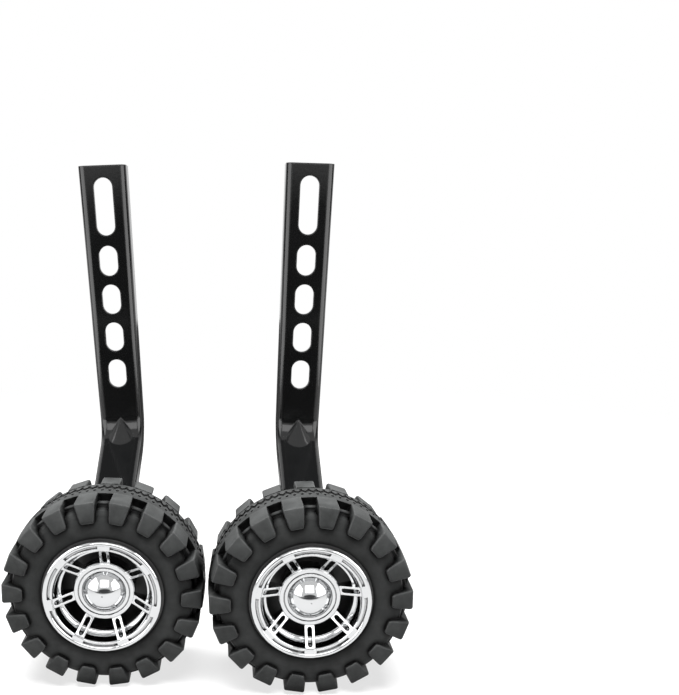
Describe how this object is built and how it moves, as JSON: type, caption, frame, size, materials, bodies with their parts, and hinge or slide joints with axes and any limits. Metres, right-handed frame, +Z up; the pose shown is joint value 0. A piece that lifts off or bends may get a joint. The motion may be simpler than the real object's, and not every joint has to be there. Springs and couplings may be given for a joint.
{
  "type": "bicycle training wheels",
  "caption": "Pair of bicycle training wheels: slotted black steel arms that carry knobbly tyres with spoked chrome wheel covers and domed hub caps.",
  "frame": {"origin": "on the ground midway between the two tyres, at the middle of the pair's depth", "axes": "+X across the pair to the right as seen from outside, +Y inboard towards the bicycle, +Z up along the arms"},
  "size_m": [0.2324, 0.1422, 0.2996],
  "materials": {
    "arm_paint": "gloss black paint over pressed steel",
    "tyre_rubber": "matt moulded rubber",
    "chrome_plating": "mirror plating over moulded plastic",
    "core_plastic": "black moulded plastic",
    "bush_nylon": "natural nylon",
    "spacer_plastic": "black moulded plastic",
    "zinc_steel": "bright zinc plate"
  },
  "bodies": {
    "brackets": {"left_arm": "arm_paint", "left_axle_bolt": "zinc_steel", "left_outer_washer": "zinc_steel", "left_axle_sleeve": "zinc_steel", "left_spacer": "spacer_plastic", "left_inner_washer": "zinc_steel", "left_lock_nut": "zinc_steel", "right_arm": "arm_paint", "right_axle_bolt": "zinc_steel", "right_outer_washer": "zinc_steel", "right_axle_sleeve": "zinc_steel", "right_spacer": "spacer_plastic", "right_inner_washer": "zinc_steel", "right_lock_nut": "zinc_steel"},
    "left_wheel": {"left_wheel_cover": "chrome_plating", "left_hub_cap": "chrome_plating", "left_wheel_core": "core_plastic", "left_front_bush": "bush_nylon", "left_rear_bush": "bush_nylon", "left_tyre": "tyre_rubber"},
    "right_wheel": {"right_wheel_cover": "chrome_plating", "right_hub_cap": "chrome_plating", "right_wheel_core": "core_plastic", "right_front_bush": "bush_nylon", "right_rear_bush": "bush_nylon", "right_tyre": "tyre_rubber"}
  },
  "joints": [
    {"name": "left_wheel_spin", "type": "hinge", "parent": "brackets", "child": "left_wheel", "pos_m": [-0.0585, -0.0379, 0.0577], "axis": [0, 1, 0], "continuous": true},
    {"name": "right_wheel_spin", "type": "hinge", "parent": "brackets", "child": "right_wheel", "pos_m": [0.0585, -0.0476, 0.0577], "axis": [0, 1, 0], "continuous": true}
  ]
}
